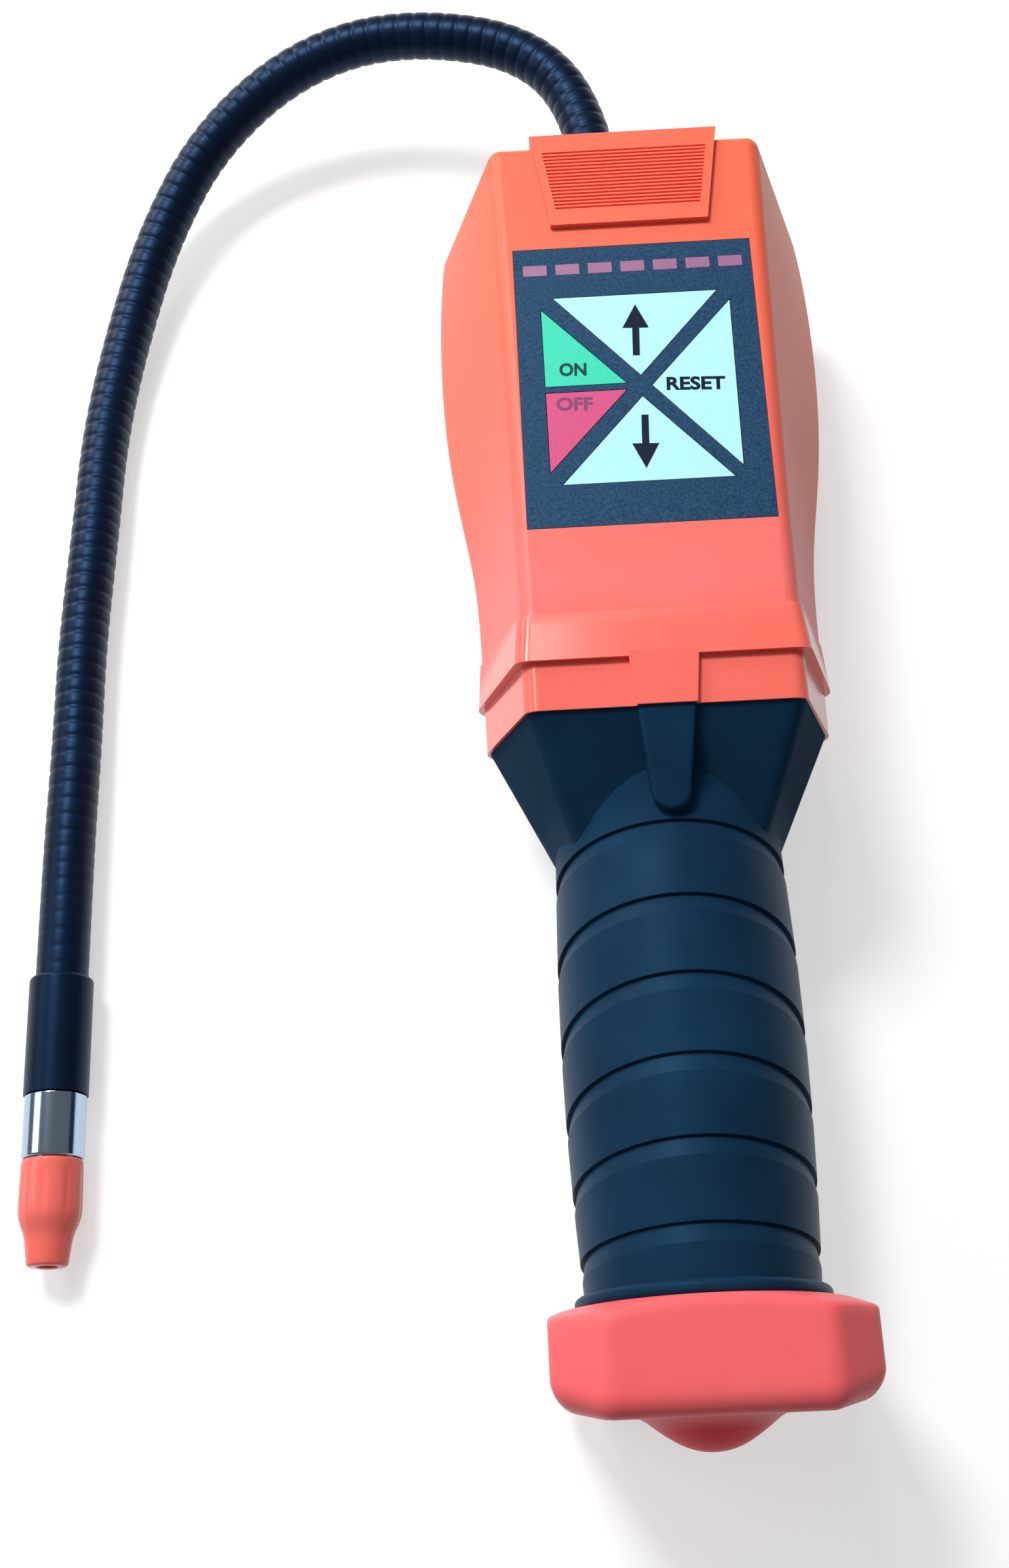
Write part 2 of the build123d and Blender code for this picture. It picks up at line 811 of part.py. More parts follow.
with BuildPart() as probe_end_sleeve:
    add(probe_rod(sleeve_low_y, sleeve_high_y, sleeve_radius))
    fillet(probe_end_sleeve.edges().group_by(Axis.Y)[-1], 0.8)
    add(probe_rod(neck_end_y, sleeve_high_y + 1, neck_diameter / 2 + 0.08), mode=Mode.SUBTRACT)
save(probe_end_sleeve.part, "probe_end_sleeve")

socket_length = 3.0
with BuildPart() as probe_collar:
    add(probe_rod(collar_low_y, sleeve_low_y, collar_radius))
    fillet(probe_collar.edges(), 0.4)
    add(probe_rod(collar_low_y - 1, sleeve_low_y + 1, stem_radius + stem_gap), mode=Mode.SUBTRACT)
save(probe_collar.part, "probe_collar")

with BuildPart() as probe_socket:
    add(probe_rod(sleeve_low_y - socket_length, sleeve_low_y, stem_radius + stem_gap - 0.03))
save(probe_socket.part, "probe_socket")

stem_high_y = sleeve_low_y - socket_length - 0.4
flange_low_y = hood_high_y - 1.2
insulator_low_y = flange_low_y - 3.0
electrode_low_y = insulator_low_y - 6.0
with BuildPart() as sensor_stem:
    add(probe_rod(flange_low_y, stem_high_y, stem_radius))
    add(probe_rod(flange_low_y, hood_high_y, tip_radius - 0.75))
    add(probe_rod(flange_low_y - 1, stem_high_y + 1, 1.5), mode=Mode.SUBTRACT)
save(sensor_stem.part, "sensor_stem")

with BuildPart() as sensor_insulator:
    add(probe_rod(insulator_low_y, flange_low_y, tip_radius - 1.2))
    add(probe_rod(insulator_low_y - 1, flange_low_y + 1, 0.85), mode=Mode.SUBTRACT)
save(sensor_insulator.part, "sensor_insulator")

with BuildPart() as sensor_electrode:
    add(probe_rod(electrode_low_y, stem_high_y, 0.8))
save(sensor_electrode.part, "sensor_electrode")

barrel_low_y = hood_high_y - tip_barrel
shoulder_low_y = barrel_low_y - tip_shoulder
nozzle_low_y = shoulder_low_y - nozzle_length
probe_axis = Axis((probe_x, 0, probe_z), (0, 1, 0))
with BuildPart() as nozzle_flats:
    with BuildSketch(across(nozzle_low_y)):
        with Locations((probe_x, -probe_z)):
            RegularPolygon(nozzle_end_radius * nozzle_flat, flute_count)
    with BuildSketch(across(shoulder_low_y)):
        with Locations((probe_x, -probe_z)):
            RegularPolygon(nozzle_base_radius * nozzle_flat, flute_count)
    loft(ruled=True)

with BuildPart() as nozzle_form:
    with BuildSketch(Plane.YZ.offset(probe_x)):
        Polygon(
            (nozzle_low_y, probe_z),
            (nozzle_low_y, probe_z + nozzle_end_radius),
            (shoulder_low_y, probe_z + nozzle_base_radius),
            (shoulder_low_y, probe_z),
            align=None,
        )
    revolve(axis=probe_axis)
    add(nozzle_flats.part, mode=Mode.INTERSECT)

with BuildPart() as sensor_hood:
    with BuildSketch(Plane.YZ.offset(probe_x)):
        Polygon(
            (hood_high_y, probe_z),
            (hood_high_y, probe_z + tip_radius),
            (barrel_low_y, probe_z + tip_radius),
            (shoulder_low_y, probe_z + nozzle_base_radius),
            (shoulder_low_y, probe_z),
            align=None,
        )
    revolve(axis=probe_axis)
    fillet(sensor_hood.edges().filter_by(lambda e: abs(e.center().Y - barrel_low_y) < 0.01), 1.2)
    with BuildSketch(across(shoulder_low_y)):
        with Locations((probe_x, -probe_z)):
            with PolarLocations(tip_radius + flute_radius - flute_depth, flute_count):
                Circle(flute_radius)
    extrude(amount=hood_high_y - shoulder_low_y - 1.0, mode=Mode.SUBTRACT)
    add(nozzle_form.part)
    add(probe_rod(barrel_low_y + 0.5, hood_high_y + 1, tip_radius - 0.7), mode=Mode.SUBTRACT)
    add(probe_rod(nozzle_low_y - 1, hood_high_y, nozzle_hole), mode=Mode.SUBTRACT)
save(sensor_hood.part, "sensor_hood")
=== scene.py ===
# %% [markdown]
# # A refrigerant leak detector on a white table
# The instrument is a hand tool: an orange moulded head with a membrane keypad, a black ribbed
# grip that holds the cells, a screwed base cap, and a gooseneck probe that can be bent by hand.
# The construction comes as a fixed frame. This lesson adds the looks: the finishes, the cap's
# leaning end, the ribbed sleeve of the gooseneck, the sensor's hood, the threads and the
# printing on the keys.

# %% Frame and units
import math

import bmesh
import bpy
from mathutils import Matrix, Vector


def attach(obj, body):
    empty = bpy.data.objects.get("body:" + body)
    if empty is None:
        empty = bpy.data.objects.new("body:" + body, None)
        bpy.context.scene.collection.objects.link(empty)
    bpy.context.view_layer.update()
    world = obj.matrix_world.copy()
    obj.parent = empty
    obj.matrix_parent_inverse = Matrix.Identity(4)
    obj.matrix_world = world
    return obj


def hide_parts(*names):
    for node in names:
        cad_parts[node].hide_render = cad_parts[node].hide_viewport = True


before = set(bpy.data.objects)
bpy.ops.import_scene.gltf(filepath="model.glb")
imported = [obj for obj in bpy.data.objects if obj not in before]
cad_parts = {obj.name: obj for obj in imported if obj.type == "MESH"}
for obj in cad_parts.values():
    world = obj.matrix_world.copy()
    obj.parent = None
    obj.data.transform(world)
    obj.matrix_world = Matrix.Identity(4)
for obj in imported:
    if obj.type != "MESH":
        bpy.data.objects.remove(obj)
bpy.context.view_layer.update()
MM = 0.001
print("frame nodes:", len(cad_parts))

# %% [markdown]
# ## The camera
# The camera looks down on the table from in front of the grip, 22.5 degrees off the vertical.
# Its place and lens come from the lines that can be measured on the object: the keypad's
# corners, the grip's width at each ring, and the outline of the head and the cap. Turning it
# about its own axis last keeps the three angles easy to read.

# %% Camera
camera_place = Vector((-23.14, -126.62, 325.39)) * MM
camera_pitch = 0.39302
camera_roll = 0.01407
camera_turn = -0.05125
camera_lens = 42.23

camera_data = bpy.data.cameras.new("camera")
camera_data.lens = camera_lens
camera_data.sensor_width = 36.0
camera_data.clip_start = 0.01
camera_data.clip_end = 20.0
camera = bpy.data.objects.new("camera", camera_data)
bpy.context.scene.collection.objects.link(camera)
camera_axes = (
    Matrix.Rotation(camera_pitch, 3, "X")
    @ Matrix.Rotation(camera_roll, 3, "Y")
    @ Matrix.Rotation(camera_turn, 3, "Z")
)
camera.location = camera_place
camera.rotation_euler = camera_axes.to_euler()
bpy.context.scene.camera = camera
print("camera height", round(camera_place.z / MM), "mm")

# %% [markdown]
# ## Small helpers
# Colours are written as the hex values that a designer would use and are turned to linear
# light once. One function adds a shader node with its settings and its links. Every material
# starts from the same two things: the surface shader, and the object's own coordinates in
# millimetres, so that each grain can be given its real size.

# %% Helpers for materials
plastic_ior = 1.5


def linear(hex_colour):
    """A colour written as sRGB hex, as linear red, green, blue and alpha."""
    levels = [int(hex_colour[i : i + 2], 16) / 255 for i in (1, 3, 5)]
    return [v / 12.92 if v <= 0.04045 else ((v + 0.055) / 1.055) ** 2.4 for v in levels] + [1.0]


def add_node(tree, kind, inputs=None, **settings):
    """Add a node with its settings, and give each input a value or a link."""
    made = tree.nodes.new(kind)
    for name, value in settings.items():
        setattr(made, name, value)
    for name, value in (inputs or {}).items():
        if isinstance(value, bpy.types.NodeSocket):
            tree.links.new(value, made.inputs[name])
        else:
            made.inputs[name].default_value = value
    return made


def start_finish(name, colour, roughness, metallic=0.0, gloss=0.5, gloss_tint=None):
    """A material with its shader, and coordinates on the object in millimetres."""
    material = bpy.data.materials.new(name)
    material.use_nodes = True
    tree = material.node_tree
    shader = tree.nodes["Principled BSDF"]
    shader.inputs["Base Color"].default_value = linear(colour)
    shader.inputs["Roughness"].default_value = roughness
    shader.inputs["IOR"].default_value = plastic_ior
    shader.inputs["Metallic"].default_value = metallic
    shader.inputs["Specular IOR Level"].default_value = gloss
    if gloss_tint:
        shader.inputs["Specular Tint"].default_value = linear(gloss_tint)
    corner = add_node(tree, "ShaderNodeTexCoord")
    place = add_node(
        tree,
        "ShaderNodeVectorMath",
        {0: corner.outputs["Object"], 1: (1 / MM, 1 / MM, 1 / MM)},
        operation="MULTIPLY",
    )
    return material, tree, shader, place.outputs["Vector"]


# %% [markdown]
# ## Orange ABS of the shells
# The shells are injection moulded in ABS, in a tool that was polished at the collar band and
# lightly textured above it. That gives a saturated orange with a soft gloss and a faint orange
# peel, and a band that takes a sharper highlight. The colour turns a little pinker towards the
# grip, which is a painted sheen: the lamps' white reflection painted into the base colour. The
# band is a purer orange. A little light travels in the plastic, so its shadows stay warm.

# %% Orange ABS
def orange_abs():
    material, tree, shader, place = start_finish("abs_orange_moulded", "#F8685A", 0.4, gloss=0.22)
    axes = add_node(tree, "ShaderNodeSeparateXYZ", {"Vector": place})
    # Painted sheen: the shells turn pinker towards the grip, the lamps' white reflection painted
    # into the colour.
    painted_sheen_fade = add_node(
        tree,
        "ShaderNodeMapRange",
        {"Value": axes.outputs["Y"], "From Min": 0.0, "From Max": 90.0},
        interpolation_type="SMOOTHSTEP",
    )
    colour = add_node(
        tree,
        "ShaderNodeMix",
        {"Factor": painted_sheen_fade.outputs["Result"], 6: linear("#FF8488"), 7: linear("#FF764C")},
        data_type="RGBA",
    )
    clouds = add_node(
        tree,
        "ShaderNodeTexNoise",
        {"Vector": place, "Scale": 1 / 38.0, "Detail": 2.0},
    )
    mottled = add_node(
        tree,
        "ShaderNodeMix",
        {"Factor": clouds.outputs["Fac"], 6: colour.outputs[2], 7: linear("#FA6A58")},
        data_type="RGBA",
    )
    up_the_band = add_node(
        tree,
        "ShaderNodeMapRange",
        {"Value": axes.outputs["Y"], "From Min": 23.0, "From Max": 15.0, "To Max": 0.5},
    )
    banded = add_node(
        tree,
        "ShaderNodeMix",
        {"Factor": up_the_band.outputs["Result"], 6: mottled.outputs[2], 7: linear("#FF7056")},
        data_type="RGBA",
    )
    tree.links.new(banded.outputs[2], shader.inputs["Base Color"])
    peel = add_node(tree, "ShaderNodeTexNoise", {"Vector": place, "Scale": 1 / 0.8, "Detail": 3.0})
    above_band = add_node(
        tree,
        "ShaderNodeMapRange",
        {
            "Value": axes.outputs["Y"],
            "From Min": 15.0,
            "From Max": 19.0,
            "To Min": 0.09,
            "To Max": 0.38,
        },
    )
    gloss = add_node(
        tree,
        "ShaderNodeMath",
        {0: peel.outputs["Fac"], 1: 0.08, 2: above_band.outputs["Result"]},
        operation="MULTIPLY_ADD",
    )
    tree.links.new(gloss.outputs["Value"], shader.inputs["Roughness"])
    bump = add_node(
        tree,
        "ShaderNodeBump",
        {"Height": peel.outputs["Fac"], "Distance": 0.012 * MM, "Strength": 0.6},
    )
    tree.links.new(bump.outputs["Normal"], shader.inputs["Normal"])
    shader.inputs["Subsurface Weight"].default_value = 0.12
    shader.inputs["Subsurface Radius"].default_value = (1.0, 0.35, 0.2)
    shader.inputs["Subsurface Scale"].default_value = 1.5 * MM
    return material


# %% [markdown]
# ## Grained plastics
# The other plastics differ in colour, gloss and grain, and are made the same way: two near
# shades mixed by slow clouds, and one fine grain that moves both the roughness and the height.
# The base cap is an elastomer, a slightly pinker orange than the shells and less glossy. The
# grip is a black thermoplastic rubber with a spark-eroded texture, which takes the light as a
# broad, cool sheen, and part of that sheen is painted into its colour as a navy blue. The
# gooseneck's vinyl sleeve is smoother and glossier.

# %% Grained plastics
def grained_plastic(
    name,
    low,
    high,
    roughness,
    grain_size,
    grain_depth,
    cloud_size=20.0,
    gloss=0.5,
    gloss_tint=None,
):
    """Two near shades in clouds, with a fine grain of this size and depth in millimetres."""
    material, tree, shader, place = start_finish(
        name, low, roughness, gloss=gloss, gloss_tint=gloss_tint
    )
    clouds = add_node(
        tree,
        "ShaderNodeTexNoise",
        {"Vector": place, "Scale": 1 / cloud_size, "Detail": 2.0},
    )
    colour = add_node(
        tree,
        "ShaderNodeMix",
        {"Factor": clouds.outputs["Fac"], 6: linear(low), 7: linear(high)},
        data_type="RGBA",
    )
    tree.links.new(colour.outputs[2], shader.inputs["Base Color"])
    grain = add_node(
        tree,
        "ShaderNodeTexNoise",
        {"Vector": place, "Scale": 1 / grain_size, "Detail": 3.0},
    )
    uneven = add_node(
        tree,
        "ShaderNodeMapRange",
        {"Value": grain.outputs["Fac"], "To Min": roughness * 0.8, "To Max": roughness * 1.2},
    )
    tree.links.new(uneven.outputs["Result"], shader.inputs["Roughness"])
    bump = add_node(
        tree,
        "ShaderNodeBump",
        {"Height": grain.outputs["Fac"], "Distance": grain_depth * MM, "Strength": 0.6},
    )
    tree.links.new(bump.outputs["Normal"], shader.inputs["Normal"])
    return material


cap_orange = grained_plastic(
    "elastomer_orange_moulded", "#FC6062", "#FF787C", 0.4, 0.6, 0.014, gloss=0.14
)
# The blue in these two shades is partly painted sheen: the cool light on the black rubber, painted
# into its colour.
grip_black = grained_plastic(
    "elastomer_black_textured",
    "#0C2337",
    "#193E5C",
    0.46,
    0.4,
    0.02,
    cloud_size=17.0,
    gloss=0.18,
    gloss_tint="#6FA8D8",
)
sleeve_black = grained_plastic(
    "vinyl_black_sleeve",
    "#081020",
    "#0E1C32",
    0.38,
    0.5,
    0.01,
    cloud_size=9.0,
    gloss=0.34,
    gloss_tint="#5F98E0",
)
tube_black = grained_plastic("abs_black_moulded", "#0A1016", "#10171F", 0.45, 0.5, 0.01)
diffuser_pink = grained_plastic(
    "acrylic_smoked_pink", "#98648C", "#A87498", 0.3, 1.5, 0.004, gloss=0.25
)
diode_red = grained_plastic("epoxy_clear_red", "#C23A3A", "#D14A48", 0.15, 1.0, 0.004)
jacket_grey = grained_plastic("steel_painted_grey", "#30343A", "#3A3F46", 0.35, 1.0, 0.006)
board_green = grained_plastic("laminate_green_mask", "#0C4A26", "#125A30", 0.35, 0.8, 0.006)
ceramic_white = grained_plastic("ceramic_unglazed", "#D8D3C6", "#E4E0D4", 0.6, 0.3, 0.01)

# %% [markdown]
# The skirt under the head was moulded against a coarser texture than the rings, and nobody's
# hand polishes it, so its gloss is lower. The grip's roughness is raised towards the head.

# %% Duller skirt
grip_tree = grip_black.node_tree
grip_shader = grip_tree.nodes["Principled BSDF"]
grip_place = next(node for node in grip_tree.nodes if node.type == "VECT_MATH").outputs["Vector"]
grip_axes = add_node(grip_tree, "ShaderNodeSeparateXYZ", {"Vector": grip_place})
dulling = add_node(
    grip_tree,
    "ShaderNodeMapRange",
    {
        "Value": grip_axes.outputs["Y"],
        "From Min": -24.0,
        "From Max": -10.0,
        "To Min": 0.0,
        "To Max": 0.45,
    },
)
grip_rough = add_node(
    grip_tree,
    "ShaderNodeMath",
    {0: grip_shader.inputs["Roughness"].links[0].from_socket, 1: dulling.outputs["Result"]},
    operation="ADD",
)
grip_tree.links.new(grip_rough.outputs["Value"], grip_shader.inputs["Roughness"])

# %% [markdown]
# The cap's end has a low dome that faces away from the lamps, so the light hardly reaches it.
# Its shade is painted: past the end face the cap's finish turns to a deeper red.

# %% Painted shade on the dome
cap_tree = cap_orange.node_tree
cap_shader = cap_tree.nodes["Principled BSDF"]
cap_place = next(node for node in cap_tree.nodes if node.type == "VECT_MATH").outputs["Vector"]
cap_colour = cap_shader.inputs["Base Color"].links[0].from_socket
cap_axes = add_node(cap_tree, "ShaderNodeSeparateXYZ", {"Vector": cap_place})
past_the_end = add_node(
    cap_tree,
    "ShaderNodeMapRange",
    {"Value": cap_axes.outputs["Y"], "From Min": -110.4, "From Max": -111.8},
)
# Painted shade: past the end face the dome is darkened to a deeper red.
painted_dome_shade = add_node(
    cap_tree,
    "ShaderNodeMix",
    {"Factor": past_the_end.outputs["Result"], 6: cap_colour, 7: linear("#F01A2C")},
    data_type="RGBA",
)
cap_tree.links.new(painted_dome_shade.outputs[2], cap_shader.inputs["Base Color"])

# %% [markdown]
# The elastomer can't hold a sharp edge, and years of hands have rounded it more. The Bevel node
# turns the shading near an edge as if it were rounded by its radius, and leaves the mesh alone.

# %% Soft edges on the cap
cap_bump = next(node for node in cap_tree.nodes if node.type == "BUMP")
cap_edges = add_node(cap_tree, "ShaderNodeBevel", {"Radius": 3.0 * MM}, samples=8)
cap_tree.links.new(cap_edges.outputs["Normal"], cap_bump.inputs["Normal"])
print("cap edges shaded as rounds of 3 mm")

# %% [markdown]
# ## Printed polyester film
# A membrane keypad has a face of polyester film, printed on its back and embossed with a fine
# velvet grain, so the printing looks soft and never mirrors the lamp. The dark ground and the
# key colours are inks on the same film, so they share one grain of about 0.4 mm and differ
# only in colour. Where the grain catches the light, painted highlights lighten the ink in
# specks, and they show best on the dark ground.

# %% Printed film
film_roughness = 0.46


def printed_film(name, low, high, gloss=0.3, gloss_tint=None):
    """Ink under film, with painted highlights: the velvet grain lightens the ink in specks."""
    material, tree, shader, place = start_finish(
        name, low, film_roughness, gloss=gloss, gloss_tint=gloss_tint
    )
    velvet = add_node(
        tree,
        "ShaderNodeTexNoise",
        {"Vector": place, "Scale": 1 / 0.42, "Detail": 3.0},
    )
    # Painted highlights: the lighter specks stand for the grain catching the light.
    specks = add_node(
        tree,
        "ShaderNodeMapRange",
        {"Value": velvet.outputs["Fac"], "From Min": 0.35, "From Max": 0.7},
    )
    colour = add_node(
        tree,
        "ShaderNodeMix",
        {"Factor": specks.outputs["Result"], 6: linear(low), 7: linear(high)},
        data_type="RGBA",
    )
    tree.links.new(colour.outputs[2], shader.inputs["Base Color"])
    bump = add_node(
        tree,
        "ShaderNodeBump",
        {"Height": velvet.outputs["Fac"], "Distance": 0.02 * MM, "Strength": 0.5},
    )
    tree.links.new(bump.outputs["Normal"], shader.inputs["Normal"])
    return material


film_dark = printed_film("polyester_printed_charcoal", "#17344F", "#2E5274", 0.3, "#8FB8E0")
key_white = printed_film("polyester_printed_white", "#B4F2F6", "#BEFAFC")
key_green = printed_film("polyester_printed_green", "#2AD8B2", "#38E2BE")
key_red = printed_film("polyester_printed_red", "#D6467E", "#DE5288")
key_ink = printed_film("polyester_printed_ink", "#04142C", "#081E3A", 0.12)
key_ink_green = printed_film("polyester_printed_green_ink", "#02403E", "#064C4A", 0.12)
key_ink_faint = printed_film("polyester_printed_dull_ink", "#7E3460", "#883E6A")

# %% [markdown]
# ## Plated metal
# The collar is brass, turned and then chromium plated, bright enough to show the room as light
# and dark bands. Turning leaves marks that run round it, so the noise is squeezed along the
# probe's length: it changes every tenth of a millimetre that way and slowly the other way.

# %% Plated metal
def plated_metal(name, colour, roughness):
    """Bright metal with fine turning marks round its circumference."""
    material, tree, shader, place = start_finish(name, colour, roughness, metallic=1.0)
    squeezed = add_node(
        tree,
        "ShaderNodeVectorMath",
        {0: place, 1: (0.25, 6.0, 0.25)},
        operation="MULTIPLY",
    )
    marks = add_node(
        tree,
        "ShaderNodeTexNoise",
        {"Vector": squeezed.outputs["Vector"], "Scale": 1.5, "Detail": 2.0},
    )
    gloss = add_node(
        tree,
        "ShaderNodeMapRange",
        {"Value": marks.outputs["Fac"], "To Min": roughness * 0.7, "To Max": roughness * 1.4},
    )
    tree.links.new(gloss.outputs["Result"], shader.inputs["Roughness"])
    bump = add_node(
        tree,
        "ShaderNodeBump",
        {"Height": marks.outputs["Fac"], "Distance": 0.002 * MM, "Strength": 0.4},
    )
    tree.links.new(bump.outputs["Normal"], shader.inputs["Normal"])
    return material


chrome = plated_metal("brass_chrome_plated", "#AEC0D2", 0.14)
nickel = plated_metal("steel_nickel_plated", "#B9B4A8", 0.22)
zinc = plated_metal("steel_zinc_plated", "#A9ABAE", 0.34)

# %% [markdown]
# ## Finishes on the nodes
# The construction's shapes are right for most pieces, so they stay and only get their finish.
# A node's mesh isn't touched: its list of material slots is emptied and filled again.

# %% Put the finishes on
abs_orange = orange_abs()
finish_of = {
    "front_housing": abs_orange,
    "rear_housing": abs_orange,
    "sensor_hood": abs_orange,
    "base_cap": cap_orange,
    "grip_sleeve": grip_black,
    "keypad_overlay": film_dark,
    "key_up": key_white,
    "key_down": key_white,
    "key_reset": key_white,
    "key_on": key_green,
    "key_off": key_red,
    "led_diffuser": diffuser_pink,
    "probe_end_sleeve": sleeve_black,
    "probe_collar": chrome,
    "probe_gland": tube_black,
    "probe_socket": tube_black,
    "sensor_stem": nickel,
    "sensor_insulator": ceramic_white,
    "sensor_electrode": nickel,
    "battery_tube": tube_black,
    "battery_lower": jacket_grey,
    "battery_upper": jacket_grey,
    "battery_contact": tube_black,
    "battery_spring": nickel,
    "spring_plate": nickel,
    "main_board": board_green,
    "key_domes": nickel,
    "led_row": diode_red,
    "beeper": tube_black,
    "high_voltage_transformer": tube_black,
    "storage_capacitor": tube_black,
    "housing_screws": zinc,
}
for node_name, finish in finish_of.items():
    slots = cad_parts[node_name].data.materials
    slots.clear()
    slots.append(finish)
print("finishes on", len(finish_of), "nodes")


# %% [markdown]
# ## The cap's end
# The construction has a flat end on the cap. On the real one it can't be seen from a camera
# that stands just beyond it: the end leans back towards the table by about three degrees, its
# left and right corners are cut back more, and only the round boss stands out. A copy of the
# mesh is merged, so that its triangles share their vertices, and each vertex of the end moves
# back along the grip. The side faces stay plane, because their vertices only slide along them.
# The imported normals go, and the shading is worked out again from the new shape.

# %% Lean the cap's end
cap_top_height = 49.6 * MM
cap_axis_height = 24.8 * MM
end_starts_at = -107.9 * MM
lean_at_top = 0.9 * MM
lean_per_height = 0.06
corner_starts_at = 16.0 * MM
corner_width = 8.8 * MM
corner_cut = 2.6 * MM
boss_edge = 11.0 * MM
cap_shape = bmesh.new()
cap_shape.from_mesh(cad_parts["base_cap"].data)
bmesh.ops.remove_doubles(cap_shape, verts=cap_shape.verts, dist=0.002 * MM)
moved = 0
for vertex in cap_shape.verts:
    if vertex.co.y < end_starts_at:
        lean = lean_at_top + (cap_top_height - vertex.co.z) * lean_per_height
        corner = max(0.0, abs(vertex.co.x) - corner_starts_at) / corner_width
        from_axis = math.hypot(vertex.co.x, vertex.co.z - cap_axis_height)
        off_boss = min(1.0, from_axis / boss_edge) ** 3
        vertex.co.y += (lean + corner_cut * corner**1.5) * off_boss
        moved += 1
cap_mesh = bpy.data.meshes.new("leaning_cap")
cap_shape.to_mesh(cap_mesh)
cap_shape.free()
for layer in [one for one in cap_mesh.attributes if one.name == "custom_normal"]:
    cap_mesh.attributes.remove(layer)
cap_mesh.materials.append(cap_orange)
leaning_cap = bpy.data.objects.new("leaning_cap", cap_mesh)
bpy.context.scene.collection.objects.link(leaning_cap)
bpy.ops.object.select_all(action="DESELECT")
leaning_cap.select_set(True)
bpy.context.view_layer.objects.active = leaning_cap
bpy.ops.object.shade_smooth_by_angle(angle=math.radians(40))
weighted = leaning_cap.modifiers.new("weighted", "WEIGHTED_NORMAL")
weighted.keep_sharp = True
bpy.ops.object.modifier_apply(modifier=weighted.name)
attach(leaning_cap, "cap")
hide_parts("base_cap")
print("vertices moved on the cap's end:", moved, "of", len(cap_mesh.vertices))

# %% [markdown]
# ## The gooseneck
# A gooseneck is a spiral of steel strip that holds the shape it is bent to. Its vinyl sleeve
# shows the strip as soft rings about 3 mm apart. A curve with a round bevel would be smooth,
# so the curve only gives the line, and a tube is built along it whose radius dips at each ring.

# %% Gooseneck line
neck_radius = 4.7 * MM
ring_pitch = 3.2 * MM
ring_dip = 0.2 * MM
ring_sharpness = 0.13
neck_route = [
    (-3.0, 115.8, 28.0),
    (-3.0, 139.0, 28.0),
    (-14.0, 162.5, 28.5),
    (-42.5, 171.5, 26.5),
    (-65.5, 168.5, 22.0),
    (-85.0, 155.0, 15.0),
    (-96.5, 135.0, 9.0),
    (-103.0, 112.0, 6.0),
    (-107.0, 89.0, 5.0),
    (-108.0, 65.0, 5.5),
    (-109.5, 41.0, 5.2),
    (-109.5, 17.5, 5.5),
    (-110.0, -5.5, 5.7),
    (-110.0, -47.5, 5.7),
]


def smooth_line(name, route):
    """The points of a smooth curve through a route given in millimetres."""
    curve = bpy.data.curves.new(name, "CURVE")
    curve.dimensions = "3D"
    curve.resolution_u = 24
    spline = curve.splines.new("NURBS")
    spline.points.add(len(route) - 1)
    for point, place in zip(spline.points, route):
        point.co = (place[0] * MM, place[1] * MM, place[2] * MM, 1.0)
    spline.order_u = 3
    spline.use_endpoint_u = True
    holder = bpy.data.objects.new(name, curve)
    bpy.context.scene.collection.objects.link(holder)
    line_mesh = bpy.data.meshes.new_from_object(holder)
    points = [vertex.co.copy() for vertex in line_mesh.vertices]
    bpy.data.objects.remove(holder)
    return points


neck_line = smooth_line("neck_line", neck_route)
neck_length = sum((b - a).length for a, b in zip(neck_line, neck_line[1:]))
print("gooseneck length", round(neck_length / MM, 1), "mm")


# %% [markdown]
# The tube is laid ring by ring. Each ring is square to the line there, and it is carried on
# from the last one without twist. The dips are narrow and the rounds between them are wide,
# as a sleeve looks when it is shrunk over a spiral. They fade where the sleeve is straight
# and slack, just above the end.

# %% Gooseneck tube
slack_from = 310.0 * MM
slack_over = 50.0 * MM
ring_steps = 8
ring_sides = 28


def along(points, distances):
    """Points and directions at these distances along a line."""
    found = []
    index = 0
    gone = 0.0
    step = (points[1] - points[0]).length
    for distance in distances:
        while distance > gone + step and index < len(points) - 2:
            gone += step
            index += 1
            step = (points[index + 1] - points[index]).length
        heading = (points[index + 1] - points[index]).normalized()
        found.append((points[index] + heading * (distance - gone), heading))
    return found


def ring_depth(distance):
    """How far the sleeve dips below its full radius, at this distance."""
    phase = (distance / ring_pitch) % 1.0
    dip = ring_dip * math.exp(-((min(phase, 1.0 - phase) / ring_sharpness) ** 2))
    fade = min(1.0, max(0.25, (slack_from - distance) / slack_over))
    return dip * fade


# %% [markdown]
# The sleeve is laid from the gland to the end sleeve and closed at both ends. Its rounds are
# shaded smooth and its two end faces flat.

# %% Lay the sleeve
station_count = int(neck_length / ring_pitch * ring_steps)
distances = [neck_length * i / station_count for i in range(station_count + 1)]
sleeve = bmesh.new()
side = Vector((1.0, 0.0, 0.0))
last_ring = None
for distance, (place, heading) in zip(distances, along(neck_line, distances)):
    side = (side - heading * side.dot(heading)).normalized()
    other = heading.cross(side)
    radius = neck_radius - ring_depth(distance)
    ring = []
    for k in range(ring_sides):
        turn = 2 * math.pi * k / ring_sides
        outward = math.cos(turn) * side + math.sin(turn) * other
        ring.append(sleeve.verts.new(place + radius * outward))
    if last_ring:
        for k in range(ring_sides):
            after = (k + 1) % ring_sides
            sleeve.faces.new((last_ring[k], last_ring[after], ring[after], ring[k]))
    else:
        sleeve.faces.new(list(reversed(ring)))
    last_ring = ring
sleeve.faces.new(last_ring)
for face in sleeve.faces:
    face.smooth = len(face.verts) == 4
neck_mesh = bpy.data.meshes.new("gooseneck_sleeve")
sleeve.to_mesh(neck_mesh)
sleeve.free()
